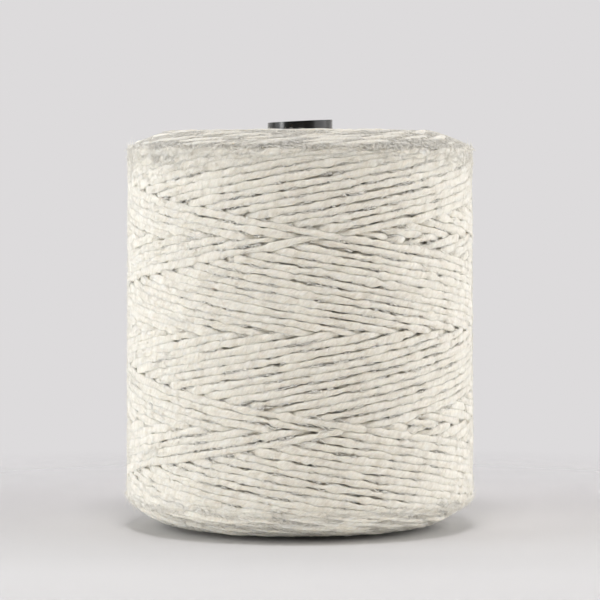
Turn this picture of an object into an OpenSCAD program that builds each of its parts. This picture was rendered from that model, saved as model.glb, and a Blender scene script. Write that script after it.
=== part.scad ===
// Cross-wound package of cotton twine on a plain plastic core tube.
// Millimetres, +Z up along the tube, origin at the centre of the tube end it stands on.

/* [Package] */
// Diameter over the outermost turns, at the foot
package_d = 100; // [80:1:140]
// Height of the wound package, foot to top
package_h = 113; // [80:1:160]
// How much narrower the package is at its top than at its foot
taper = 1.2; // [0:0.2:4]
// Width of the bevelled edge at the top, in from the outermost turns
top_bevel_w = 12; // [8:0.5:16]
// Height of the bevelled edge at the top
top_bevel_h = 4.4; // [3:0.2:8]
// Width of the bevelled edge at the foot, in from the outermost turns
foot_bevel_w = 11; // [8:0.5:16]
// Height of the bevelled edge at the foot
foot_bevel_h = 6.8; // [3:0.2:8]
// How full both edges are: 1 is a straight bevel, 2 a quarter of an ellipse
bevel_fullness = 1.2; // [1:0.1:2]
// How far each end of the package swells from the wall to the tube, besides its bevel
end_crown = 0.6; // [0:0.1:3]

/* [Core tube] */
// Outside diameter of the tube
core_d = 18.6; // [14:0.2:36]
// Wall of the tube
core_wall = 1.6; // [1.2:0.1:3]
// How far the tube stands out above the package
core_reach = 2.6; // [1.5:0.1:10]
// How far the tube stands out below the package
foot_reach = 1.2; // [0.5:0.1:6]
// How far the tube's cut top end drops from its high side to its low side
cut_drop = 0.9; // [0:0.1:1.4]
// Bevel at the mouths of the bore
mouth_bevel = 0.4; // [0.2:0.1:0.6]

/* [Twine] */
// Diameter of the twine
twine_d = 2.2; // [1.6:0.1:2.6]
// Gap between two turns where they cross
crossing_gap = 0.5; // [0.45:0.05:1]
// Gap between the outer turns and the layers under them
seat_gap = 0.1; // [0.05:0.05:0.3]
// Gap between the first layer and the tube
core_gap = 0.05; // [0.02:0.01:0.2]
// There-and-back passes that lay the outer turns
passes = 6; // [4:1:6]
// Direction in which the outer turns start and end, anticlockwise from +X
start_angle = 110; // [0:5:360]

/* [Hidden] */

twine_colour = "#e6dfd0";
under_colour = "#cfc6b4";
core_colour = "#1c1b1b";

// Laying pattern: a pass goes up and comes back down in just under four turns, so each
// pass starts one step round from the one before, and the last ends where the first began.
turns_per_pass = 4 - 1 / passes;
loops = passes * turns_per_pass;
crossing_angle = 180 / passes;                 // between two crossings along a turn
crossings = 4 * passes - 1;                    // steps of that angle from foot to top
hold = 0.2;                                    // share of a step laid level beside a crossing
longest_chord = (1 - 2 * hold) * crossing_angle;
ring_sides = 6;
samples_per_ring = 4;

// Radii, worked in from the outside: outer level, inner level, then the layers under them.
foot_r = package_d / 2;
outer_level = foot_r - twine_d / 2;
inner_level = outer_level - twine_d - crossing_gap;
under_r = inner_level * cos(longest_chord / 2) - twine_d / 2 - seat_gap;
core_r = core_d / 2;
bore_r = core_r - core_wall;
hole_r = core_r + core_gap;
core_top = foot_reach + package_h + core_reach;

// Heights from here on are above the package's own foot, which foot_reach lifts.
// How far the wall has drawn in at a height.
function drawn_in(z) = taper / 2 * z / package_h;

// Each end's outer radius, and the width and height of its bevelled edge.
foot_edge = [foot_r, foot_bevel_w, foot_bevel_h];
top_edge = [foot_r - drawn_in(package_h), top_bevel_w, top_bevel_h];

// How far an end lies below its highest point, at a radius.
function end_drop(r, edge) =
    let (crown = end_crown * pow((r - hole_r) / (foot_r - hole_r), 2),
         part = max(0, 1 - (edge[0] - r) / edge[1]))
    crown + edge[2] * (1 - pow(1 - pow(part, bevel_fullness), 1 / bevel_fullness));

// Turning points of the twine, where it lies against the bevelled edges.
turn_r = (outer_level + inner_level) / 2;
turn_low = end_drop(turn_r, foot_edge) + twine_d / 2;
turn_high = package_h - end_drop(turn_r, top_edge) - twine_d / 2;
step_rise = (turn_high - turn_low) / (crossings - 2 * hold);

function wrapped(x, n) = x - n * floor(x / n);

// 1 where the turn lies over the one it crosses, 0 where it lies under. The later turn is
// always the upper one; up and down turns of a pass meet at crossing number m.
function over_going_up(pass, m) = pass > wrapped(pass - m - 1, passes) ? 1 : 0;
function over_coming_down(pass, m) = pass >= wrapped(pass + m + 1, passes) ? 1 : 0;
function lift(pass, m, up) =
    m == 0 || m == crossings ? 0.5 : up ? over_going_up(pass, m) : over_coming_down(pass, m);

function height(u) = turn_low + step_rise * (u - hold);
function around(angle) = [cos(start_angle + angle), sin(start_angle + angle), 0];
function on_wall(r, angle, z) = (r - drawn_in(z)) * around(angle) + [0, 0, z];

// A ring of the route: pass number, steps gone in the pass, and the crossing it belongs to.
function route_point(pass, gone, crossing) =
    let (up = gone <= crossings,
         m = up ? crossing : 2 * crossings - crossing,
         u = up ? gone : 2 * crossings - gone,
         level = inner_level + (outer_level - inner_level) * lift(pass, m, up))
    on_wall(level, (pass * 2 * crossings + gone) * crossing_angle, height(u));

// Every crossing has a ring before it and a ring after it, both at its level.
laid = [
    for (pass = [0 : passes - 1], crossing = [0 : 2 * crossings - 1], side = [-hold, hold])
        if (pass + crossing > 0) route_point(pass, crossing + side, crossing)
];

// Each end comes straight out of the layers below and bends over into the first or last turn.
bend_r = 0.55 * twine_d;
function end_post(angle, z, way) =
    let (foot = under_r + seat_gap)
    [
        for (rise = [0, twine_d]) on_wall(foot + rise, angle, z),
        for (a = [30 : 30 : 90])
            on_wall(foot + twine_d + bend_r * sin(a), angle, z)
            + way * bend_r * (1 - cos(a)) * around(angle + 90)
    ];
function reversed(list) = [for (i = [len(list) - 1 : -1 : 0]) list[i]];

start_post = end_post(0.5 * crossing_angle, height(0.5), 1);
last_post = reversed(end_post(-0.5 * crossing_angle, height(0.5), -1));
route = concat(start_post, laid, last_post);

// Least gap between the twine and itself, from one loop to any other.
fine = [
    for (i = [0 : len(laid) - 2], part = [0 : samples_per_ring - 1])
        laid[i] + (laid[i + 1] - laid[i]) * part / samples_per_ring
];
loop_samples = 4 * passes * samples_per_ring;
reach = 3;
least_gap = min([
    for (i = [0 : len(fine) - 1])
        min([
            for (j = [i + loop_samples - reach : loop_samples : len(fine) - 1 - 2 * reach])
                for (k = [j : j + 2 * reach]) norm(fine[i] - fine[k]),
            package_d
        ])
]) - twine_d;
post_gap = min([for (p = concat(start_post, last_post))
    min([for (q = [for (i = [3 : len(fine) - 4]) fine[i]])
        if (norm(p - q) > 3 * twine_d || abs(p.z - q.z) > twine_d) norm(p - q)])]) - twine_d;
echo(loops = loops, least_gap = least_gap, gap_at_the_ends = post_gap);

// A tube of straight-sided rings along a list of points.
module tube_along(points, d, sides) {
    last = len(points) - 1;
    function unit(v) = v / norm(v);
    function along(i) = unit(points[min(i + 1, last)] - points[max(i - 1, 0)]);
    rings = [
        for (i = [0 : last])
            let (t = along(i), e = unit([0, 0, 1] - t.z * t), f = cross(t, e))
            for (s = [0 : sides - 1])
                points[i] + d / 2 * (cos(s * 360 / sides) * f + sin(s * 360 / sides) * e)
    ];
    walls = [
        for (i = [0 : last - 1], s = [0 : sides - 1])
            let (a = i * sides + s, b = i * sides + (s + 1) % sides)
            each [[a, a + sides, b], [b, a + sides, b + sides]]
    ];
    caps = [
        for (s = [1 : sides - 2]) each [[0, s, s + 1],
            [last * sides, last * sides + s + 1, last * sides + s]]
    ];
    polyhedron(rings, concat(walls, caps));
}

// Half the section of one end of the inner layers, from the tube out to the wall, as
// [radius, depth below the end's highest point].
section_steps = 14;
function end_section(wall_r, edge) = [
    for (step = [0 : section_steps])
        let (r = hole_r + (wall_r - hole_r) * step / section_steps) [r, end_drop(r, edge)]
];

module inner_layers() {
    foot_end = end_section(under_r - drawn_in(turn_low), foot_edge);
    top_end = end_section(under_r - drawn_in(turn_high), top_edge);
    color(under_colour)
        translate([0, 0, foot_reach]) rotate_extrude($fn = 96)
            polygon(concat(foot_end, reversed([for (p = top_end) [p.x, package_h - p.y]])));
}

module outer_turns() {
    color(twine_colour) translate([0, 0, foot_reach]) tube_along(route, twine_d, ring_sides);
}

module core_tube() {
    past = 1;
    tilt = atan(cut_drop / core_d);
    color(core_colour)
        difference() {
            cylinder(r = core_r, h = core_top, $fn = 96);
            translate([0, 0, -past]) cylinder(r = bore_r, h = core_top + 2 * past, $fn = 96);
            translate([0, 0, -past])
                cylinder(r1 = bore_r + mouth_bevel + past, r2 = bore_r,
                         h = mouth_bevel + past, $fn = 96);
            // The top end is cut a little out of square, low on the -X side.
            translate([core_r, 0, core_top]) rotate([0, -tilt, 0])
                translate([-2 * core_d, -core_d, 0]) cube([3 * core_d, 2 * core_d, core_d]);
        }
}

core_tube();
inner_layers();
outer_turns();
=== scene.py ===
# Spool of soft cotton twine, cross-wound on an extruded plastic tube.
import math

import bpy
import numpy as np
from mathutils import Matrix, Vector, noise


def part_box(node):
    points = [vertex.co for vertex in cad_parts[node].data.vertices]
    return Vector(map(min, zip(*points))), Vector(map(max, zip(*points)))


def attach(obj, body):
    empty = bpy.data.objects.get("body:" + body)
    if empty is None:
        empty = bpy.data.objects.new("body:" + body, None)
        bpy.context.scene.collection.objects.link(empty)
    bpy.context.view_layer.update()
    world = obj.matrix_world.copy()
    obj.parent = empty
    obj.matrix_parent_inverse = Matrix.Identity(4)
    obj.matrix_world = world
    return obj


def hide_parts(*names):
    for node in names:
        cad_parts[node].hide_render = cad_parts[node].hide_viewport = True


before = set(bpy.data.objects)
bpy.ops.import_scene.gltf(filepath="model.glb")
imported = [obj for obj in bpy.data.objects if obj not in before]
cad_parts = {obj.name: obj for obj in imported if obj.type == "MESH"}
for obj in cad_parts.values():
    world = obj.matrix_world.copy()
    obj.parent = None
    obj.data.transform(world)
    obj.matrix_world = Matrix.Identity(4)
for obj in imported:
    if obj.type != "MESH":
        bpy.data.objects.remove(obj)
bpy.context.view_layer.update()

mm = 0.001
fullTurn = 2 * math.pi


# camera, a little below the top of the package and looking slightly down
cameraSettings = {
    "distance": 873.4 * mm,   # from the tube's axis
    "height": 104.4 * mm,
    "downTilt": 2.58,         # degrees
    "viewAngle": 11.27,       # degrees across the frame
}


def addCamera():
    data = bpy.data.cameras.new("camera")
    data.sensor_width = 36
    data.angle = math.radians(cameraSettings["viewAngle"])
    camera = bpy.data.objects.new("camera", data)
    camera.location = (0, -cameraSettings["distance"], cameraSettings["height"])
    camera.rotation_euler = (math.radians(90 - cameraSettings["downTilt"]), 0, 0)
    bpy.context.collection.objects.link(camera)
    bpy.context.scene.camera = camera


addCamera()
print("camera in place")


# colours and nodes
def hexToLinear(code):
    values = [int(code[i:i + 2], 16) / 255 for i in (1, 3, 5)]
    return [v / 12.92 if v <= 0.04045 else ((v + 0.055) / 1.055) ** 2.4 for v in values] + [1]


def newMaterial(name):
    material = bpy.data.materials.new(name)
    material.use_nodes = True
    tree = material.node_tree
    return material, tree, tree.nodes["Principled BSDF"]


def addNode(tree, kind, settings=None, inputs=None):
    # inputs: socket name or number to a value, or to another node's output socket
    node = tree.nodes.new(kind)
    for key, value in (settings or {}).items():
        setattr(node, key, value)
    for key, value in (inputs or {}).items():
        if isinstance(value, bpy.types.NodeSocket):
            tree.links.new(value, node.inputs[key])
        else:
            node.inputs[key].default_value = value
    return node


def setRamp(node, stops):
    ramp = node.color_ramp
    while len(ramp.elements) < len(stops):
        ramp.elements.new(0.5)
    for element, (place, colour) in zip(ramp.elements, stops):
        element.position = place
        element.color = colour


# Spun cotton twine, soft laid and unbleached: dull, short-fibred and slightly mottled,
# with no highlight of its own.
cottonSettings = {
    "fibre": "#efebe0",
    "fibreShade": "#e2dccf",
    "fleck": "#f6f3ea",
    "palest": 0.95,           # share of light that no part of it goes above
    "streakAcross": 0.28,     # mm, one bundle of fibres, coarser than real so that it shows
    "streakAlong": 2.2,       # mm
    "streakTone": (0.9, 1.04),    # of the colour, in the darkest and lightest streaks
    "streakHeight": 0.2,      # mm
    "streakStrength": 0.7,
    "mottle": 1.8,            # mm
    "mottleStops": (0.32, 0.52, 0.72),    # where its shade, fibre and fleck colours lie
    "tuft": 0.7,              # mm, the felted unevenness of the surface
    "tuftAlong": 0.6,         # share of that fineness along the twine
    "tuftHeight": 0.24,       # mm
    "tuftStrength": 0.8,
    "glow": 0.5,              # share of the light that sinks in before it comes back out
    "glowDepth": (0.55, 0.5, 0.42),    # mm, for red, green and blue
    "roughness": 0.95,
    "shine": 0.15,
    "sheen": 0.15,            # of the fibre ends that stand off the surface
    "sheenRoughness": 0.6,
}


def spunCottonTwine(name="spunCottonTwine", tone=1.0):
    s = cottonSettings
    material, tree, shader = newMaterial(name)
    place = addNode(tree, "ShaderNodeAttribute", {"attribute_name": "strandPlace"})
    stretched = addNode(tree, "ShaderNodeVectorMath", {"operation": "MULTIPLY"}, {
        0: place.outputs["Vector"],
        1: (1 / s["streakAcross"], 1 / s["streakAcross"], 1 / s["streakAlong"])})
    streaks = addNode(tree, "ShaderNodeTexNoise", None, {
        "Vector": stretched.outputs[0], "Scale": 1.0, "Detail": 3.0, "Roughness": 0.6})
    even = addNode(tree, "ShaderNodeVectorMath", {"operation": "MULTIPLY"}, {
        0: place.outputs["Vector"], 1: (1 / s["mottle"],) * 3})
    mottle = addNode(tree, "ShaderNodeTexNoise", None, {
        "Vector": even.outputs[0], "Scale": 1.0, "Detail": 4.0, "Roughness": 0.65})
    shades = addNode(tree, "ShaderNodeValToRGB", None, {"Fac": mottle.outputs["Fac"]})
    dim, mid, light = ([min(c * tone, s["palest"]) for c in hexToLinear(s[kind])[:3]] + [1]
                       for kind in ("fibreShade", "fibre", "fleck"))
    setRamp(shades, list(zip(s["mottleStops"], (dim, mid, light))))
    darkest, lightest = s["streakTone"]
    streakShade = addNode(tree, "ShaderNodeMapRange", None, {
        "Value": streaks.outputs["Fac"], "From Min": 0.3, "From Max": 0.7,
        "To Min": darkest, "To Max": lightest})
    colour = addNode(tree, "ShaderNodeMix", {"data_type": "RGBA", "blend_type": "MULTIPLY"}, {
        "Factor": 1.0, 6: shades.outputs["Color"], 7: streakShade.outputs["Result"]})
    tufted = addNode(tree, "ShaderNodeVectorMath", {"operation": "MULTIPLY"}, {
        0: place.outputs["Vector"],
        1: (1 / s["tuft"], 1 / s["tuft"], s["tuftAlong"] / s["tuft"])})
    tufts = addNode(tree, "ShaderNodeTexNoise", None, {
        "Vector": tufted.outputs[0], "Scale": 1.0, "Detail": 2.0, "Roughness": 0.5})
    felt = addNode(tree, "ShaderNodeBump", None, {
        "Height": tufts.outputs["Fac"], "Strength": s["tuftStrength"],
        "Distance": s["tuftHeight"] * mm})
    bump = addNode(tree, "ShaderNodeBump", None, {
        "Height": streaks.outputs["Fac"], "Strength": s["streakStrength"],
        "Distance": s["streakHeight"] * mm, "Normal": felt.outputs["Normal"]})
    tree.links.new(colour.outputs[2], shader.inputs["Base Color"])
    tree.links.new(bump.outputs["Normal"], shader.inputs["Normal"])
    shader.inputs["Subsurface Weight"].default_value = s["glow"]
    shader.inputs["Subsurface Radius"].default_value = s["glowDepth"]
    shader.inputs["Subsurface Scale"].default_value = mm
    shader.inputs["Roughness"].default_value = s["roughness"]
    shader.inputs["Specular IOR Level"].default_value = s["shine"]
    shader.inputs["Sheen Weight"].default_value = s["sheen"]
    shader.inputs["Sheen Roughness"].default_value = s["sheenRoughness"]
    return material


# Extruded black polypropylene: glossy, with faint lines drawn along it by the die.
tubeSettings = {
    "black": "#141313",
    "roughness": 0.22,
    "roughnessSwing": (-0.05, 0.08),    # from one die line to the next
    "ior": 1.49,
    "dieLine": 0.5,        # mm round the tube
    "lineAlong": 0.02,     # share of that fineness along the tube
    "lineHeight": 0.01,    # mm
    "lineStrength": 0.5,
}


def extrudedBlackPolypropylene():
    s = tubeSettings
    material, tree, shader = newMaterial("extrudedBlackPolypropylene")
    spot = addNode(tree, "ShaderNodeTexCoord")
    dieLine = s["dieLine"] * mm
    drawn = addNode(tree, "ShaderNodeVectorMath", {"operation": "MULTIPLY"}, {
        0: spot.outputs["Object"], 1: (1 / dieLine, 1 / dieLine, s["lineAlong"] / dieLine)})
    lines = addNode(tree, "ShaderNodeTexNoise", None, {
        "Vector": drawn.outputs[0], "Scale": 1.0, "Detail": 2.0})
    bump = addNode(tree, "ShaderNodeBump", None, {
        "Height": lines.outputs["Fac"], "Strength": s["lineStrength"],
        "Distance": s["lineHeight"] * mm})
    smoother, rougher = s["roughnessSwing"]
    gloss = addNode(tree, "ShaderNodeMapRange", None, {
        "Value": lines.outputs["Fac"], "To Min": s["roughness"] + smoother,
        "To Max": s["roughness"] + rougher})
    tree.links.new(bump.outputs["Normal"], shader.inputs["Normal"])
    tree.links.new(gloss.outputs["Result"], shader.inputs["Roughness"])
    shader.inputs["Base Color"].default_value = hexToLinear(s["black"])
    shader.inputs["IOR"].default_value = s["ior"]
    return material


cottonTwine = spunCottonTwine()
paintedLightCottonTwine = spunCottonTwine("paintedLightCottonTwine", 1.1)     # loose fibres and the foot, lighter as painted light
shadedTopCottonTwine = spunCottonTwine("shadedTopCottonTwine", 0.96)  # the top, darker as painted shade
shadedPackedCottonTwine = spunCottonTwine("shadedPackedCottonTwine", 0.93)    # deep in the grooves, darker as painted shade
print("materials made")


# the package, in millimetres, from the frame; heights are above the package's own foot
layersLow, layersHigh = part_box("inner_layers")
turnsLow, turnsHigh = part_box("outer_turns")
tubeLow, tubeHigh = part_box("core_tube")
packageFoot = layersLow[2] / mm    # the tube stands out below it
packageHeight = layersHigh[2] / mm - packageFoot
outerRadius = (turnsHigh[0] - turnsLow[0]) / 2 / mm
tubeRadius = (tubeHigh[0] - tubeLow[0]) / 2 / mm

packageSettings = {
    "taper": 0.6,            # how much the radius draws in from foot to top
    "topBevelWidth": 12.0,
    "topBevelHeight": 4.4,
    "footBevelWidth": 11.0,
    "footBevelHeight": 6.8,
    "bevelFullness": 1.2,    # 1 is a straight bevel, 2 a quarter of an ellipse
    "crown": 0.6,            # how far an end swells from the wall to the tube
    "edgeSoftness": 0.35,    # over which the wall rounds into a bevel
    "rim": 12,               # width of the band at the edge that is followed for that
    "rimSamples": 80,
    "pastRim": 20,           # how far the bevel's slope is carried on past the edge
}


def outerEdge(atTop):
    return outerRadius - (packageSettings["taper"] if atTop else 0)


# the top's twine is darker as painted shade, the foot's lighter as painted light
def endCotton(atTop):
    return shadedTopCottonTwine if atTop else paintedLightCottonTwine


def endDrop(radius, atTop):
    # how far an end lies below its highest point, at a radius
    p = packageSettings
    end = "top" if atTop else "foot"
    edge = outerEdge(atTop)
    part = np.clip(1 - (edge - radius) / p[end + "BevelWidth"], 0, 1)
    bevel = 1 - (1 - part ** p["bevelFullness"]) ** (1 / p["bevelFullness"])
    crown = p["crown"] * ((radius - tubeRadius) / (edge - tubeRadius)) ** 2
    return crown + p[end + "BevelHeight"] * bevel


def wallRadius(z):
    return outerRadius - packageSettings["taper"] * z / packageHeight


def bedRadius(z, inset):
    # radius at a height of the surface that lies inset mm below the package's outline
    p = packageSettings
    softness = p["edgeSoftness"]
    total = np.exp(-(wallRadius(z) - inset - outerRadius) / softness)
    for atTop in (False, True):
        edge = outerEdge(atTop)
        radius = np.linspace(edge - p["rim"], edge, p["rimSamples"])
        drop = endDrop(radius, atTop)
        slope = np.gradient(drop, radius)
        steep = np.sqrt(1 + slope ** 2)
        radius, drop = radius - inset * slope / steep, drop + inset / steep
        radius = np.append(radius, radius[-1] + p["pastRim"])
        drop = np.append(drop, drop[-1] + p["pastRim"] * slope[-1])
        height = packageHeight - z if atTop else z
        total = total + np.exp(-(np.interp(height, drop, radius) - outerRadius) / softness)
    return outerRadius - softness * np.log(total)


def smooth(x):
    # 0 to 1, level at both
    x = np.clip(x, 0, 1)
    return x * x * (3 - 2 * x)


def softNoise(rng, along, spacing):
    # random values every spacing mm, joined smoothly; along holds places in mm
    place = (along - along.min()) / spacing
    knots = rng.normal(0, 1, int(place.max()) + 3)
    low = place.astype(int)
    part = smooth(place - low)
    return knots[low] * (1 - part) + knots[low + 1] * part


def wavering(rng, along, longWave, shortWave, shortShare):
    return softNoise(rng, along, longWave) + shortShare * softNoise(rng, along, shortWave)


# meshes
def makePiece(name, points, faces, material, strandPlace=None, flatMap=None):
    # faces: arrays of corner numbers, one array for each number of corners; flatMap: a place
    # on a square for each corner
    mesh = bpy.data.meshes.new(name)
    mesh.vertices.add(len(points))
    mesh.vertices.foreach_set("co", (points * mm).astype(np.float32).ravel())
    corners = np.concatenate([f.ravel() for f in faces])
    sizes = np.concatenate([np.full(len(f), f.shape[1]) for f in faces])
    mesh.loops.add(len(corners))
    mesh.loops.foreach_set("vertex_index", corners.astype(np.int32))
    mesh.polygons.add(len(sizes))
    starts = np.concatenate([[0], np.cumsum(sizes)[:-1]])
    mesh.polygons.foreach_set("loop_start", starts.astype(np.int32))
    mesh.update(calc_edges=True)
    mesh.shade_smooth()
    if strandPlace is not None:
        place = mesh.attributes.new("strandPlace", "FLOAT_VECTOR", "POINT")
        place.data.foreach_set("vector", strandPlace.astype(np.float32).ravel())
    if flatMap is not None:
        layout = mesh.uv_layers.new(name="OFBake")
        layout.uv.foreach_set("vector", flatMap.astype(np.float32).ravel())
    mesh.materials.append(material)
    piece = bpy.data.objects.new(name, mesh)
    bpy.context.collection.objects.link(piece)
    return piece


def unit(v):
    return v / np.linalg.norm(v, axis=-1, keepdims=True)


def sweep(centres, outward, halfWidth, halfThickness, along, sides, squareness=2.0, run=None):
    # closed tubes; centres and outward are [strand, ring, xyz], the sizes [strand, ring]
    strands, rings = centres.shape[:2]
    if run is None:
        run = unit(np.gradient(centres, axis=1))
    out = unit(outward - np.sum(outward * run, axis=-1, keepdims=True) * run)
    side = np.cross(run, out)
    angle = np.arange(sides) * fullTurn / sides
    c, s = np.cos(angle), np.sin(angle)
    power = np.broadcast_to(2 / np.asarray(squareness, float), (strands, rings))[..., None]
    x = (halfWidth[..., None] * np.sign(c) * np.abs(c) ** power)[..., None]
    y = (halfThickness[..., None] * np.sign(s) * np.abs(s) ** power)[..., None]
    points = centres[:, :, None] + x * side[:, :, None] + y * out[:, :, None]
    # the same points on the twine laid straight and untwisted, for the fibres' pattern
    turned = angle - along[..., None] * fullTurn / windingSettings["twistLength"]
    straight = np.stack([halfWidth[..., None] * np.cos(turned),
                         halfThickness[..., None] * np.sin(turned),
                         np.broadcast_to(along[..., None], turned.shape)], axis=-1)
    number = np.arange(strands * rings * sides).reshape(strands, rings, sides)
    near, far = number[:, :-1], number[:, 1:]
    walls = np.stack([near, np.roll(near, -1, axis=2), np.roll(far, -1, axis=2), far],
                     axis=-1).reshape(-1, 4)
    caps = np.concatenate([number[:, 0, ::-1], number[:, -1]])
    # each length between two rings gets a cell of its own on the flat map, in rows
    lengths = strands * (rings - 1)
    girth = 2 * (halfWidth.mean() + halfThickness.mean())
    spacing = np.linalg.norm(np.diff(centres, axis=1), axis=-1).mean()
    perRow = max(1, round(math.sqrt(lengths * girth / spacing)))
    rows = -(-lengths // perRow)
    row, column = np.divmod(np.arange(lengths), perRow)
    u = np.stack([column, column, column + 1, column + 1], axis=-1) / perRow
    lower = np.arange(sides)[:, None] + [0, 1, 1, 0]
    v = (row[:, None, None] + lower / sides) / rows
    flat = np.stack([np.broadcast_to(u[:, None], v.shape), v], axis=-1).reshape(-1, 2)
    flat = np.concatenate([flat, np.zeros((caps.size, 2))])
    return points.reshape(-1, 3), [walls, caps], straight.reshape(-1, 3), flat


def aroundAxis(radius, angle, z):
    return np.stack([radius * np.cos(angle), radius * np.sin(angle), z], axis=-1)


# The winding. A wave gives the length of its long swells, of its short ones, and how strong
# the short ones are beside them.
windingSettings = {
    "halfWidth": 1.13,        # of the flattened twine, across its run
    "widthSwing": 0.15,
    "widthWave": (3.2, 1.3, 0.7),
    "halfThickness": 1.0,
    "thicknessShare": 0.25,   # of the width's swing
    "squareness": 3.9,        # 2 is an ellipse, more is flatter with tighter grooves
    "squarenessSwing": 0.7,
    "squarenessWave": 3,
    "squarenessLimits": (-0.8, 1.6),
    "openAt": 282,            # degrees round to where the turns lie open; they close a quarter
    "openWidth": 0.11,        # turn on, and open again on the far side
    "openSquareness": 1.7,
    "passes": 24,             # there-and-back passes that close one layer
    "turnsEachWay": 2,
    "slip": 15.7,             # degrees turned less on a way up, and more on a way down
    "lastLaid": 104.5,        # degrees round to where the last pass began
    "footReversal": 3.45,     # heights where straight ways up and down would meet
    "topReversal": 109.75,
    "turnBack": 0.8,          # radians before an end in which the twine starts to turn back
    "sublayer": 1.668,        # between an under strand and the one over it
    "sidewaysSwing": 0.12,
    "sidewaysWave": (11, 3, 0.6),
    "depthSwing": 0.06,
    "depthWave": 7,
    "tuckLength": 14,         # over which each end of the length goes down under others
    "tuckDepth": 2.2,
    "rubbed": (316, 82),      # degrees round and height of a patch rubbed out of order
    "rubbedReach": 11,
    "rubbedFlatness": 1.5,    # 1 is a round patch, more is a lower one
    "rubbedSwing": 0.45,
    "rubbedWave": 6,
    "rubbedSink": 0.4,
    "rubbedSinkWave": 5,
    "ringSpacing": 0.75,      # along the twine
    "sides": 12,
    "twistLength": 9.0,       # length of twine in one twist
    "hiddenRings": 25,        # in a row that lie under other turns, where a piece may end
}


def layPattern():
    # radians between the starts of two passes, turned on a way up and on a way down, and
    # round to the start of the last pass
    w = windingSettings
    step = fullTurn / w["passes"]
    eachWay = w["turnsEachWay"] * fullTurn + step / 2      # turned while the guide goes one way
    slip = math.radians(w["slip"])
    return step, eachWay - slip, eachWay + slip, math.radians(w["lastLaid"])


def overLevel(angle, climbed, goingUp):
    # 1 where the twine lies over what it crosses, 0 where it lies under: the later pass is
    # always the upper one
    step, turnedUp, turnedDown, last = layPattern()
    up = step / 2 - np.mod(step / 2 - (angle - turnedUp * climbed - last), fullTurn)
    down = step / 2 - np.mod(step / 2 - (angle + turnedDown * climbed - last - step), fullTurn)
    ahead = np.where(goingUp, up - down - step / 2, down - up + step / 2)
    crossed = np.where(goingUp, down, up)
    over = np.minimum(ahead, crossed + fullTurn - step / 2)
    under = np.minimum(-ahead, step / 2 - crossed)
    level = smooth(0.5 + np.where(ahead > 0, over, -under) / step)
    # at the ends the twine turns back midway between the two levels
    firstCrossing = step / (turnedUp + turnedDown)
    nearTop = smooth((1 - climbed) / firstCrossing) / 2
    nearFoot = smooth(climbed / firstCrossing) / 2
    level = np.where(climbed > 1 - firstCrossing,
                     np.where(goingUp, 0.5 + nearTop, 0.5 - nearTop), level)
    return np.where(climbed < firstCrossing,
                    np.where(goingUp, 0.5 - nearFoot, 0.5 + nearFoot), level)


def windOuterLayers():
    # the outermost pair of layers, one unbroken length: centres, outward, run, along, level
    w = windingSettings
    rng = np.random.default_rng(11)
    step, turnedUp, turnedDown, last = layPattern()
    wholePass = turnedUp + turnedDown
    turned = np.arange(0, w["passes"] * wholePass, w["ringSpacing"] / outerRadius)
    inPass = np.mod(turned, wholePass)
    goingUp = inPass < turnedUp
    climbed = np.where(goingUp, inPass / turnedUp, (wholePass - inPass) / turnedDown)
    # near each end the way up bends evenly into the way down
    bend = 2 * w["turnBack"] / wholePass
    rounded = np.where(climbed < bend, (climbed ** 2 + bend ** 2) / (2 * bend), climbed)
    rounded = np.where(climbed > 1 - bend,
                       1 - ((1 - climbed) ** 2 + bend ** 2) / (2 * bend), rounded)
    z = w["footReversal"] + (w["topReversal"] - w["footReversal"]) * rounded
    along = turned * outerRadius
    angle = last - (w["passes"] - 1) * step + turned
    level = overLevel(angle, climbed, goingUp)
    # some turns are pushed about where the package has been rubbed
    place, height = w["rubbed"]
    away = np.mod(angle - math.radians(place) + math.pi, fullTurn) - math.pi
    fromPatch = (away * outerRadius) ** 2 + w["rubbedFlatness"] * (z - height) ** 2
    rubbed = np.exp(-fromPatch / w["rubbedReach"] ** 2)
    z = z + w["sidewaysSwing"] * wavering(rng, along, *w["sidewaysWave"])
    z = z + rubbed * w["rubbedSwing"] * softNoise(rng, along, w["rubbedWave"])
    half = w["halfThickness"]
    inset = half + w["depthSwing"] * softNoise(rng, along, w["depthWave"])
    outer, inner = bedRadius(z, half), bedRadius(z, half + w["sublayer"])
    radius = level * outer + (1 - level) * inner - inset + half
    sink = np.abs(softNoise(rng, along, w["rubbedSinkWave"]))
    radius = radius - w["rubbedSink"] * rubbed * sink
    tuck = 1 - smooth(np.minimum(along, along[-1] - along) / w["tuckLength"])
    radius = radius - w["tuckDepth"] * tuck
    slope = (bedRadius(z + 0.1, half) - bedRadius(z - 0.1, half)) / 0.2
    centres = aroundAxis(radius, angle, packageFoot + z)
    outward = unit(aroundAxis(1, angle, -slope))
    return centres, outward, unit(np.gradient(centres, axis=0)), along, level


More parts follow.
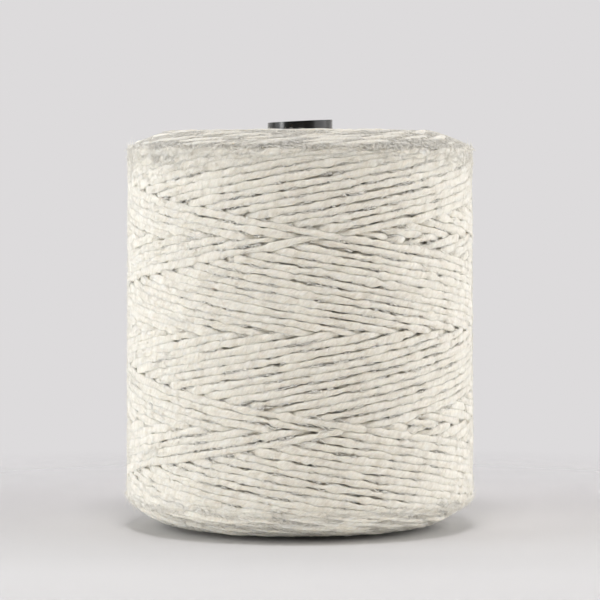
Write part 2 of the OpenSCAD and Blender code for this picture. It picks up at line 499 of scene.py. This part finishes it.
def makeWallTurns(centres, outward, run, along, level):
    w = windingSettings
    rng = np.random.default_rng(12)
    swing = w["widthSwing"] * wavering(rng, along, *w["widthWave"])
    angle = np.arctan2(centres[:, 1], centres[:, 0])
    opened = np.cos(2 * (angle - math.radians(w["openAt"])))
    width = w["halfWidth"] * (1 + swing) - w["openWidth"] * opened
    thick = w["halfThickness"] * (1 + w["thicknessShare"] * swing)
    uneven = np.clip(softNoise(rng, along, w["squarenessWave"]), *w["squarenessLimits"])
    square = w["squareness"] - w["openSquareness"] * opened + w["squarenessSwing"] * uneven
    # a piece for every two passes, cut where the twine lies hidden under other turns
    showing = np.convolve(level > 0.01, np.ones(w["hiddenRings"]), "same")
    hidden = np.flatnonzero(showing == 0)
    even = np.linspace(0, len(along), w["passes"] // 2 + 1)[1:-1]
    cuts = [0] + [hidden[np.abs(hidden - cut).argmin()] for cut in even] + [len(along) - 1]
    for number, (first, last) in enumerate(zip(cuts[:-1], cuts[1:]), 1):
        part = slice(first, last + 1)
        points, faces, straight, flat = sweep(
            centres[None, part], outward[None, part], width[None, part], thick[None, part],
            along[None, part], w["sides"], square[None, part], run[None, part])
        piece = makePiece(f"wall_turns_{number:02d}", points, faces, cottonTwine,
                          straight, flat)
        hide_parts("outer_turns")
        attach(piece, "root")


endSettings = {
    "layers": 22,             # under the outermost one, out to in
    "layerShift": 0.37,       # of a pass's step round, from one layer to the next
    "layerSwing": 0.02,       # radians, how far a layer's shift strays
    "turnSwing": 0.04,        # radians, how far a turn-back's place strays
    "turnBack": 0.3,          # radians
    "reach": (0.16, 4.0),     # to each side of a turn-back: radians, and mm besides
    "ringSpacing": 0.9,
    "sides": 10,
    "sunkTop": 0.35,          # how far the ends of these turns lie below the top's outline
    "unevenness": 0.1,        # of radius and height from one turn-back to the next
    "squareness": 2.6,
    "lean": 0.5,              # of its flat side up or down, as a share of straight out
}
patternSpread = 500           # mm of twine; a short length's fibre pattern starts within it


def makeEndTurns(name, atTop, seed):
    # where the layers below the outermost one turn back, seen on an end of the package
    w, e = windingSettings, endSettings
    rng = np.random.default_rng(seed)
    step = fullTurn / w["passes"]
    edge = outerEdge(atTop)
    slope = (packageHeight - 2 * w["halfThickness"]) / (w["turnsEachWay"] * fullTurn)
    reachAngle, reachLength = e["reach"]
    parts = []
    for layer in range(1, e["layers"] + 1):
        middle = edge - w["halfThickness"] - w["sublayer"] * layer
        reach = reachAngle + reachLength / middle
        rings = int(2 * reach * middle / e["ringSpacing"]) + 5
        away = np.linspace(-reach, reach, rings)[None]
        first = layer * e["layerShift"] * step + rng.normal(0, e["layerSwing"])
        at = (first + np.arange(w["passes"])[:, None] * step
              + rng.normal(0, e["turnSwing"], (w["passes"], 1)))
        turn = e["turnBack"]
        depth = slope * np.where(np.abs(away) < turn, away ** 2 / (2 * turn),
                                 np.abs(away) - turn / 2)
        level = 0.5 - 0.5 * np.sign(away) * smooth(2 * np.abs(away) / step)
        radius = middle + w["sublayer"] * (level - 0.5)
        radius = radius + rng.normal(0, e["unevenness"], at.shape)
        sunk = endDrop(radius, atTop) + w["halfWidth"] + depth
        sunk = sunk + np.abs(rng.normal(0, e["unevenness"], at.shape)) + e["sunkTop"] * atTop
        z = packageFoot + (packageHeight - sunk if atTop else sunk)
        angle = at + away
        along = away * middle + rng.uniform(0, patternSpread, at.shape)
        swing = w["widthSwing"] * rng.normal(0, 1, (w["passes"], 1))
        width = np.broadcast_to(w["halfWidth"] * (1 + swing), angle.shape)
        thick = np.broadcast_to(w["halfThickness"] * (1 + swing), angle.shape)
        outward = aroundAxis(1, angle, np.full_like(angle, e["lean"] if atTop else -e["lean"]))
        parts.append(sweep(aroundAxis(radius, angle, z), outward, width, thick,
                           along, e["sides"], e["squareness"]))
    joinStrands(name, parts, 2, "inner_layers", endCotton(atTop))


def joinStrands(name, parts, pieces, node, material=cottonTwine):
    # the swept parts as a few pieces, each with its own flat map
    share = -(-len(parts) // pieces)
    for number in range(pieces):
        group = parts[number * share:(number + 1) * share]
        offset = 0
        quads, caps, quadMap, capMap = [], [], [], []
        for place, (points, faces, _, flat) in enumerate(group):
            quads.append(faces[0] + offset)
            caps.append(faces[1] + offset)
            offset += len(points)
            # this part's band of the piece's map
            flat = flat * [1, 1 / len(group)] + [0, place / len(group)]
            quadMap.append(flat[:faces[0].size])
            capMap.append(flat[faces[0].size:])
        piece = makePiece(f"{name}_{number + 1:02d}", np.concatenate([g[0] for g in group]),
                          [np.concatenate(quads), np.concatenate(caps)], material,
                          np.concatenate([g[2] for g in group]),
                          np.concatenate(quadMap + capMap))
        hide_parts(node)
        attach(piece, "root")


packedSettings = {
    "underWall": 4.0,         # in from the package's outline
    "underEnds": 0.3,         # below an end's surface, so that it fills the grooves there
    "fromTube": (0.05, 0.7),  # its first two rings
    "rings": 70,              # across each end
    "around": 360,
    "lumps": 0.3,             # height of its lumps
    "lumpSize": 1.6,
    "lumpDetail": (0.8, 2.0, 3),    # how fast its finer lumps fade, how much finer, how many
}


def makePackedLayers():
    # what shows between the turns: the layers below, matted together, as one body, in a darker
    # twine as painted shade
    p = packedSettings
    first, second = p["fromTube"]
    outer = outerRadius - p["underWall"]
    radii = np.append(tubeRadius + first, np.linspace(tubeRadius + second, outer, p["rings"]))
    underTop = p["underEnds"] + endSettings["sunkTop"]
    topHalf = np.stack([radii, packageHeight - underTop - endDrop(radii, True)], axis=-1)
    footHalf = np.stack([radii, p["underEnds"] + endDrop(radii, False)], axis=-1)[::-1]
    outline = np.concatenate([topHalf, footHalf]) + [0, packageFoot]
    around = p["around"]
    angle = np.arange(around) * fullTurn / around
    points = aroundAxis(outline[:, 0][:, None], angle[None],
                        np.broadcast_to(outline[:, 1][:, None], (len(outline), around)))
    lumps = [noise.fractal(Vector(point) / p["lumpSize"], *p["lumpDetail"])
             for point in points.reshape(-1, 3)]
    lumps = np.clip(np.reshape(lumps, (len(outline), around)), -1, 1)
    up = np.where(np.arange(len(outline)) < len(topHalf), 1, -1)[:, None]
    points[:, :, 2] += up * p["lumps"] * lumps
    number = np.arange(len(outline) * around).reshape(len(outline), around)
    below = np.roll(number, -1, axis=0)
    faces = np.stack([number, below, np.roll(below, -1, axis=1), np.roll(number, -1, axis=1)],
                     axis=-1).reshape(-1, 4)
    points = points.reshape(-1, 3)
    piece = makePiece("packed_layers", points, [faces], shadedPackedCottonTwine, points)
    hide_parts("inner_layers")
    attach(piece, "root")


# Loose fibre ends that stand out of spun cotton. They lie over the grooves and blur them,
# and give the edge of the package its down. Drawn thicker than real so that they show.
fibreSettings = {
    "thinning": (0.5, 1.3),   # from one fibre to another
    "tipThinning": 0.75,      # share of its thickness that a fibre loses by its tip
    "flatness": 0.7,
    "rootDepth": 0.1,         # inside the twine
    "arch": (0.06, 0.22),     # height over the surface
    "tipRise": 0.06,
    "bend": 0.3,              # sideways, as a share of its length
    "rings": 4,
    "sides": 3,
    "perPiece": 9800,
}


def layFibres(rng, root, run, out, length, spread, loose, thickness):
    # each fibre starts inside the twine, arches over its surface and lies down or stands off
    f = fibreSettings
    count = len(root)
    side = np.cross(run, out)
    turn = rng.normal(0, spread, count) + math.pi * rng.integers(0, 2, count)
    heading = np.cos(turn)[:, None] * run + np.sin(turn)[:, None] * side
    across = np.cross(out, heading)
    part = np.linspace(0, 1, f["rings"])[None, :, None]
    size = length[:, None, None]
    bend = rng.normal(0, f["bend"], (count, 1, 1))
    arch = rng.uniform(*f["arch"], (count, 1, 1))
    stand = loose * rng.exponential(1, (count, 1, 1))
    height = (-f["rootDepth"] + arch * np.sin(math.pi * part) + f["tipRise"] * part
              + stand * part ** 1.5)
    centres = (root[:, None] + size * part * heading[:, None]
               + size * bend * part ** 2 * across[:, None] + height * out[:, None])
    thinned = thickness * rng.uniform(*f["thinning"], (count, 1))
    thinned = thinned * (1 - f["tipThinning"] * part[..., 0])
    radius = np.broadcast_to(thinned / 2, centres.shape[:2])
    along = part[..., 0] * length[:, None] + rng.uniform(0, patternSpread, (count, 1))
    outward = np.broadcast_to(out[:, None], centres.shape)
    parts = []
    for first in range(0, count, f["perPiece"]):
        group = slice(first, first + f["perPiece"])
        parts.append(sweep(centres[group], outward[group], radius[group],
                           f["flatness"] * radius[group], along[group], f["sides"]))
    return parts


def pickPlaces(rng, chance, count):
    return rng.choice(len(chance), count, p=chance / chance.sum())


# Each kind's shortest and longest; how far they stray from the twine's run, in radians; how
# loose they stand off it; and above which level of the twine, 0 under to 1 over, they grow.
wallFibreSettings = {
    "ends": {"count": 42000, "above": 0.55, "length": (0.8, 3.6), "spread": 0.75,
             "loose": 0.16, "thickness": 0.13},
    # small tangled knots
    "neps": {"count": 260, "fibres": 9, "above": 0.9, "across": 0.9, "length": (0.4, 1.1),
             "spread": 3.0, "loose": 0.05, "thickness": 0.13},
    # matted fibre that fills the groove to the next turn
    "wads": {"count": 10500, "fibres": 4, "above": 0.6, "ringSwing": 2, "acrossSwing": 0.06,
             "length": (0.8, 2.0), "spread": 0.35, "loose": 0.01, "thickness": 0.5,
             "sunk": (0.2, 0.45)},
    "felted": 3.0,            # how much denser all of them are at the package's two rims
    "feltedTop": (98, 9),     # height where that begins, and mm on to where it is full
    "feltedFoot": (11, 8),
    "openBare": 0.65,         # how much of them is worn off where the turns lie open
}


def makeWallFibres(centres, outward, run, level):
    w, f = windingSettings, wallFibreSettings
    ends, neps, wads = f["ends"], f["neps"], f["wads"]
    rng = np.random.default_rng(31)
    z = centres[:, 2] - packageFoot
    angle = np.arctan2(centres[:, 1], centres[:, 0])
    (topFrom, topReach), (footFrom, footReach) = f["feltedTop"], f["feltedFoot"]
    rims = smooth((z - topFrom) / topReach) + smooth((footFrom - z) / footReach)
    dense = 1 + f["felted"] * rims
    dense = dense * (1 - f["openBare"] * np.cos(2 * (angle - math.radians(w["openAt"]))))
    # where each starts: its ring, and its place across the twine from side to side, -1 to 1
    end = pickPlaces(rng, dense * (level > ends["above"]), ends["count"])
    endAcross = rng.uniform(-1, 1, (ends["count"], 1))
    nep = np.repeat(rng.choice(np.flatnonzero(level > neps["above"]), neps["count"]),
                    neps["fibres"])
    nepAcross = rng.uniform(-neps["across"], neps["across"], (neps["count"], 1))
    nepAcross = np.repeat(nepAcross, neps["fibres"], axis=0)
    wad = np.repeat(pickPlaces(rng, dense * (level > wads["above"]), wads["count"]),
                    wads["fibres"])
    shift = rng.integers(-wads["ringSwing"], wads["ringSwing"] + 1, len(wad))
    wad = np.clip(wad + shift, 0, len(level) - 1)
    wadAcross = np.repeat(rng.choice([-1.0, 1.0], (wads["count"], 1)), wads["fibres"], axis=0)
    wadAcross = wadAcross + rng.normal(0, wads["acrossSwing"], wadAcross.shape)
    picked = np.concatenate([end, nep, wad])
    across = np.concatenate([endAcross, nepAcross, wadAcross])
    side = np.cross(run, outward)[picked]
    # ends and neps grow on the twine's rounded surface, wads from beside its top
    rise = w["halfThickness"] * np.maximum(1 - np.abs(across) ** 3, 0.3) ** (1 / 3)
    rise[-len(wad):] = w["halfThickness"] - rng.uniform(*wads["sunk"], (len(wad), 1))
    root = centres[picked] + side * across * w["halfWidth"] + outward[picked] * rise
    kinds, counts = (ends, neps, wads), (len(end), len(nep), len(wad))
    length = np.concatenate([rng.uniform(*kind["length"], count)
                             for kind, count in zip(kinds, counts)])
    spread, loose, thickness = (np.repeat([kind[key] for kind in kinds], counts)
                                for key in ("spread", "loose", "thickness"))
    parts = layFibres(rng, root, run[picked], outward[picked], length, spread,
                      loose[:, None, None], thickness[:, None])
    # their twine is lighter, as painted light that offsets the shade the fine fibres cast on
    # each other
    joinStrands("wall_fibres", parts, len(parts), "outer_turns", paintedLightCottonTwine)


# on the ends of the package, felted over by handling, in bands that start at an inner radius
endFibreSettings = {
    "topEdge": {"count": 24000, "inner": outerRadius - 13, "spread": 1.2, "loose": 0.05},
    "topFace": {"count": 16000, "inner": tubeRadius + 1, "spread": 1.2, "loose": 0.05},
    "footEdge": {"count": 18000, "inner": outerRadius - 12, "spread": 0.5, "loose": 0.03},
    "thickness": 0.32,
    "length": (0.8, 2.8),
    "sunk": (0.1, 0.6),
    "fromWall": 0.6,
}


def makeEndFibres(name, kind, atTop, seed):
    e = endFibreSettings
    band = e[kind]
    rng = np.random.default_rng(seed)
    outer = outerEdge(atTop) - e["fromWall"]
    radius = np.sqrt(rng.uniform(band["inner"] ** 2, outer ** 2, band["count"]))
    angle = rng.uniform(0, fullTurn, band["count"])
    slope = (endDrop(radius + 0.2, atTop) - endDrop(radius - 0.2, atTop)) / 0.4
    sunk = (endDrop(radius, atTop) + endSettings["sunkTop"] * atTop
            + rng.uniform(*e["sunk"], band["count"]))
    root = aroundAxis(radius, angle, packageFoot + (packageHeight - sunk if atTop else sunk))
    out = unit(aroundAxis(slope, angle, np.full_like(angle, 1 if atTop else -1)))
    run = aroundAxis(1, angle + math.pi / 2, np.zeros_like(angle))
    length = rng.uniform(*e["length"], band["count"])
    parts = layFibres(rng, root, run, out, length, band["spread"], band["loose"],
                      e["thickness"])
    joinStrands(name, parts, len(parts), "inner_layers", endCotton(atTop))


# tufts of the first layers, which cling to the tube where it comes out
tuftSettings = {
    "count": 260,
    "length": (0.3, 1.2),
    "sunk": (0.1, 0.6),
    "fromTube": 0.35,
    "lean": 0.25,             # towards the tube, as a share of a tuft's rise
    "thickness": 0.13,
    "spread": 0.8,
    "loose": 0.05,
}


def makeTubeTufts():
    t = tuftSettings
    rng = np.random.default_rng(36)
    angle = rng.uniform(0, fullTurn, t["count"])
    sunk = endSettings["sunkTop"] + rng.uniform(*t["sunk"], t["count"])
    root = aroundAxis(tubeRadius + t["fromTube"], angle, packageFoot + packageHeight - sunk)
    out = aroundAxis(1, angle, np.zeros_like(angle))
    run = unit(aroundAxis(-t["lean"], angle, np.ones_like(angle)))
    length = rng.uniform(*t["length"], t["count"])
    parts = layFibres(rng, root, run, out, length, t["spread"], t["loose"], t["thickness"])
    joinStrands("tube_tufts", parts, len(parts), "inner_layers")


centres, outward, run, along, level = windOuterLayers()
makeWallTurns(centres, outward, run, along, level)
print("wall turns made:", len(centres), "rings")
makeEndTurns("top_turns", True, 21)
makeEndTurns("foot_turns", False, 22)
makePackedLayers()
print("end turns and packed layers made")
makeWallFibres(centres, outward, run, level)
makeEndFibres("top_edge_fibres", "topEdge", True, 32)
makeEndFibres("top_face_fibres", "topFace", True, 33)
makeEndFibres("foot_edge_fibres", "footEdge", False, 34)
makeTubeTufts()
print("loose fibres laid")

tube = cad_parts["core_tube"]
tube.data.materials.clear()
tube.data.materials.append(extrudedBlackPolypropylene())
print("tube finished")


# studio: a white paper floor that fades into a pale backdrop, a curved white card behind
# that isn't seen, soft boxes at both sides and overhead, and a dim room; in millimetres
studioSettings = {
    "paper": "#faf9f7",        # the white that throws light back
    "floorTones": [            # the tone that it is seen in, by mm back along it, with painted shade
        # painted shade: seen darker from just in front of the package to behind it, darkest 60
        # mm behind the axis
        (-160, "#dcdcdc"), (-105, "#dadadb"), (-70, "#d3d3d4"), (60, "#c7c6c8"),
        (320, "#d0cfd1")],
    "fade": (85, 250),         # mm from the tube's axis, where the floor gives way
    "backdrop": "#dddbdc",
    "halfWidth": 1500,
    "grain": 10 / 9,           # of the paper, coarser than real
    "grainHeight": 0.02,
    "grainStrength": 0.1,
    "roughness": 0.9,
    "shine": 0.1,
    "cardStart": 110,          # behind the tube's axis
    "cardRadius": 260,
    "cardFrom": 25,            # degrees of its curve that are left out at its foot
    "cardSteps": 20,
    "cardHeight": 1500,
    "room": "#ffffff",
    "roomStrength": 0.08,
    "horizon": 0.1,            # how softly backdrop and room meet at the sides
}


def seenRays(tree):
    # 1 for what the camera sees itself, and 1 for what a mirror or a clear thing shows
    path = addNode(tree, "ShaderNodeLightPath")
    mirrored = addNode(tree, "ShaderNodeMath", {"operation": "MAXIMUM"}, {
        0: path.outputs["Is Glossy Ray"], 1: path.outputs["Is Transmission Ray"]})
    return path.outputs["Is Camera Ray"], mirrored.outputs[0]


# Uncoated white paper: matt, with a faint grain and hardly any shine.
def mattPaper(name):
    s = studioSettings
    material, tree, shader = newMaterial(name)
    spot = addNode(tree, "ShaderNodeTexCoord")
    grain = addNode(tree, "ShaderNodeTexNoise", None, {
        "Vector": spot.outputs["Object"], "Scale": 1 / (s["grain"] * mm), "Detail": 2.0})
    bump = addNode(tree, "ShaderNodeBump", None, {
        "Height": grain.outputs["Fac"], "Strength": s["grainStrength"],
        "Distance": s["grainHeight"] * mm})
    tree.links.new(bump.outputs["Normal"], shader.inputs["Normal"])
    shader.inputs["Base Color"].default_value = hexToLinear(s["paper"])
    shader.inputs["Roughness"].default_value = s["roughness"]
    shader.inputs["Specular IOR Level"].default_value = s["shine"]
    return material, tree, shader, spot


def mattPaperFloor():
    s = studioSettings
    material, tree, shader, spot = mattPaper("mattPaperFloor")
    apart = addNode(tree, "ShaderNodeSeparateXYZ", None, {0: spot.outputs["Object"]})
    first, last = s["floorTones"][0][0], s["floorTones"][-1][0]
    back = addNode(tree, "ShaderNodeMapRange", None, {
        "Value": apart.outputs["Y"], "From Min": first * mm, "From Max": last * mm})
    tone = addNode(tree, "ShaderNodeValToRGB", None, {"Fac": back.outputs["Result"]})
    setRamp(tone, [((place - first) / (last - first), hexToLinear(code))
                   for place, code in s["floorTones"]])
    direct, mirrored = seenRays(tree)
    seen = addNode(tree, "ShaderNodeMath", {"operation": "MAXIMUM"}, {0: direct, 1: mirrored})
    colour = addNode(tree, "ShaderNodeMix", {"data_type": "RGBA"}, {
        "Factor": seen.outputs[0], 6: hexToLinear(s["paper"]), 7: tone.outputs["Color"]})
    tree.links.new(colour.outputs[2], shader.inputs["Base Color"])
    away = addNode(tree, "ShaderNodeVectorMath", {"operation": "LENGTH"}, {
        0: spot.outputs["Object"]})
    near, far = s["fade"]
    faded = addNode(tree, "ShaderNodeMapRange", {"interpolation_type": "SMOOTHSTEP"}, {
        "Value": away.outputs["Value"], "From Min": near * mm, "From Max": far * mm})
    share = addNode(tree, "ShaderNodeMath", {"operation": "MULTIPLY"}, {
        0: faded.outputs["Result"], 1: seen.outputs[0]})
    clear = addNode(tree, "ShaderNodeBsdfTransparent")
    mixed = addNode(tree, "ShaderNodeMixShader", None, {
        0: share.outputs[0], 1: shader.outputs[0], 2: clear.outputs[0]})
    tree.links.new(mixed.outputs[0], tree.nodes["Material Output"].inputs["Surface"])
    return material


def addFloor():
    corners = np.array([[-1, -1, 0], [1, -1, 0], [1, 1, 0], [-1, 1, 0]])
    points = corners * studioSettings["halfWidth"]
    makePiece("paper_floor", points, [np.array([[0, 1, 2, 3]])], mattPaperFloor())


def addCard():
    # it only throws light back on the far side, and isn't seen itself
    s = studioSettings
    bend = np.linspace(math.radians(s["cardFrom"]), math.pi / 2, s["cardSteps"])
    y = s["cardStart"] + s["cardRadius"] * np.append(np.sin(bend), 1)
    z = np.append(s["cardRadius"] * (1 - np.cos(bend)), s["cardHeight"])
    left = np.stack([np.full_like(y, -s["halfWidth"]), y, z], axis=-1)
    row = np.arange(len(y) - 1)
    faces = np.stack([row, row + len(y), row + len(y) + 1, row + 1], axis=-1)
    card = makePiece("white_card", np.concatenate([left, left * [-1, 1, 1]]), [faces],
                     mattPaper("mattPaperCard")[0])
    card.visible_camera = False


# places and sizes in metres, powers in watts
softBoxes = {
    "soft_box_left": {"place": (-0.74, -0.3, 0.085), "size": (0.2, 0.2), "power": 1.4},
    "soft_box_far_left": {"place": (-0.785, -0.155, 0.36), "size": (0.6, 0.5), "power": 3.2,
                          "colour": "#f9fcff"},
    "soft_box_right": {"place": (0.835, -0.15, 0.4), "size": (1.0, 0.7), "power": 5.6},
    "soft_box_above": {"place": (0.0, -0.39, 1.083), "size": (0.3, 0.3), "power": 5.2,
                       "colour": "#fffaf8"},
}


def addSoftBox(name, aim, place, size, power, colour="#ffffff"):
    data = bpy.data.lights.new(name, "AREA")
    data.shape = "RECTANGLE"
    data.size, data.size_y = size
    data.energy = power
    data.color = hexToLinear(colour)[:3]
    lamp = bpy.data.objects.new(name, data)
    lamp.location = place
    lamp.rotation_euler = (Vector(aim) - Vector(place)).to_track_quat("-Z", "Y").to_euler()
    lamp.visible_camera = False
    bpy.context.collection.objects.link(lamp)


def addRoom():
    # a dim room in front, and behind it the backdrop, which the camera sees all round
    s = studioSettings
    world = bpy.data.worlds.new("room")
    world.use_nodes = True
    bpy.context.scene.world = world
    tree = world.node_tree
    direct, mirrored = seenRays(tree)
    spot = addNode(tree, "ShaderNodeTexCoord")
    apart = addNode(tree, "ShaderNodeSeparateXYZ", None, {0: spot.outputs["Generated"]})
    behind = addNode(tree, "ShaderNodeMapRange", None, {
        "Value": apart.outputs["Y"], "From Min": -s["horizon"], "From Max": s["horizon"]})
    shown = addNode(tree, "ShaderNodeMath", {"operation": "MULTIPLY"}, {
        0: mirrored, 1: behind.outputs["Result"]})
    seen = addNode(tree, "ShaderNodeMath", {"operation": "MAXIMUM"}, {
        0: direct, 1: shown.outputs[0]})
    dim = [c * s["roomStrength"] for c in hexToLinear(s["room"])[:3]] + [1]
    colour = addNode(tree, "ShaderNodeMix", {"data_type": "RGBA"}, {
        "Factor": seen.outputs[0], 6: dim, 7: hexToLinear(s["backdrop"])})
    tree.links.new(colour.outputs[2], tree.nodes["Background"].inputs["Color"])


addFloor()
addCard()
for name, softBox in softBoxes.items():
    addSoftBox(name, (0, 0, packageHeight / 2 * mm), **softBox)
addRoom()
bpy.context.scene.view_settings.view_transform = "Standard"
print("studio lit")
